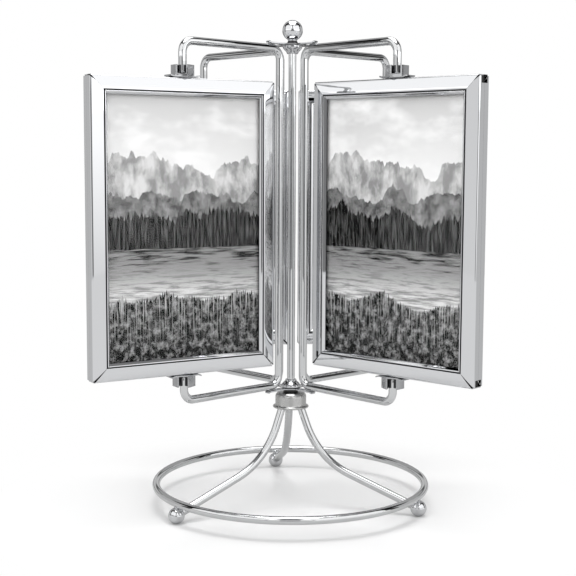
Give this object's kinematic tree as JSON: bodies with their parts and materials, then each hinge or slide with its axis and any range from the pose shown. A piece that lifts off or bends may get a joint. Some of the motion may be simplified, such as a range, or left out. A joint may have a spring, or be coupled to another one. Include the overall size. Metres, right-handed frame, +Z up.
{
  "type": "rotating photo display stand",
  "caption": "Tabletop carousel of double-sided chromed picture frames, each turning on its own bent wire, on a wire ring base with ball feet.",
  "frame": {"origin": "middle of the whole outline in plan, on the table plane under the ball feet", "axes": "+Z up and parallel to the spindle, -Y towards the side the front frames face, +X to the right of someone who looks at that side"},
  "size_m": [0.2353, 0.1917, 0.2982],
  "materials": {
    "chrome": "polished bright plating over steel",
    "satin_steel": "satin plated pressed steel",
    "plated_zinc": "dull bright plating over cast zinc",
    "dark_steel": "oiled steel, hidden in the hub",
    "black_nylon": "moulded, matt black",
    "clear_glass": "clear polished pane",
    "photo_paper": "resin-coated photographic paper with a black-and-white print",
    "black_board": "matt black card"
  },
  "bodies": {
    "base": {"base_ring": "chrome", "front_left_leg": "chrome", "front_right_leg": "chrome", "rear_leg": "chrome", "front_left_foot": "chrome", "front_right_foot": "chrome", "rear_foot": "chrome", "hub_cup": "satin_steel", "hub_core": "dark_steel", "pivot_bush": "black_nylon"},
    "carousel": {"centre_rod": "chrome", "retaining_collar": "dark_steel", "upper_plate": "chrome", "lower_plate": "chrome", "upper_collar": "chrome", "lower_collar": "chrome", "ball_finial": "chrome", "front_left_arm": "chrome", "front_right_arm": "chrome", "rear_left_arm": "chrome", "rear_right_arm": "chrome"},
    "front_left_frame": {"front_left_front_bezel": "chrome", "front_left_back_bezel": "chrome", "front_left_front_glass": "clear_glass", "front_left_back_glass": "clear_glass", "front_left_front_print": "photo_paper", "front_left_back_print": "photo_paper", "front_left_backing_board": "black_board", "front_left_top_socket": "plated_zinc", "front_left_bottom_socket": "plated_zinc"},
    "front_right_frame": {"front_right_front_bezel": "chrome", "front_right_back_bezel": "chrome", "front_right_front_glass": "clear_glass", "front_right_back_glass": "clear_glass", "front_right_front_print": "photo_paper", "front_right_back_print": "photo_paper", "front_right_backing_board": "black_board", "front_right_top_socket": "plated_zinc", "front_right_bottom_socket": "plated_zinc"},
    "rear_left_frame": {"rear_left_front_bezel": "chrome", "rear_left_back_bezel": "chrome", "rear_left_front_glass": "clear_glass", "rear_left_back_glass": "clear_glass", "rear_left_front_print": "photo_paper", "rear_left_back_print": "photo_paper", "rear_left_backing_board": "black_board", "rear_left_top_socket": "plated_zinc", "rear_left_bottom_socket": "plated_zinc"},
    "rear_right_frame": {"rear_right_front_bezel": "chrome", "rear_right_back_bezel": "chrome", "rear_right_front_glass": "clear_glass", "rear_right_back_glass": "clear_glass", "rear_right_front_print": "photo_paper", "rear_right_back_print": "photo_paper", "rear_right_backing_board": "black_board", "rear_right_top_socket": "plated_zinc", "rear_right_bottom_socket": "plated_zinc"}
  },
  "joints": [
    {"name": "carousel_spin", "type": "hinge", "parent": "base", "child": "carousel", "pos_m": [-0.0015, 0.0072, 0], "axis": [0, 0, 1], "continuous": true},
    {"name": "front_left_frame_spin", "type": "hinge", "parent": "carousel", "child": "front_left_frame", "pos_m": [-0.06314, -0.0513, 0.1753], "axis": [0, 0, 1], "continuous": true},
    {"name": "front_right_frame_spin", "type": "hinge", "parent": "carousel", "child": "front_right_frame", "pos_m": [0.057, -0.05444, 0.1753], "axis": [0, 0, 1], "continuous": true},
    {"name": "rear_left_frame_spin", "type": "hinge", "parent": "carousel", "child": "rear_left_frame", "pos_m": [-0.06, 0.06884, 0.1753], "axis": [0, 0, 1], "continuous": true},
    {"name": "rear_right_frame_spin", "type": "hinge", "parent": "carousel", "child": "rear_right_frame", "pos_m": [0.06014, 0.0657, 0.1753], "axis": [0, 0, 1], "continuous": true}
  ]
}
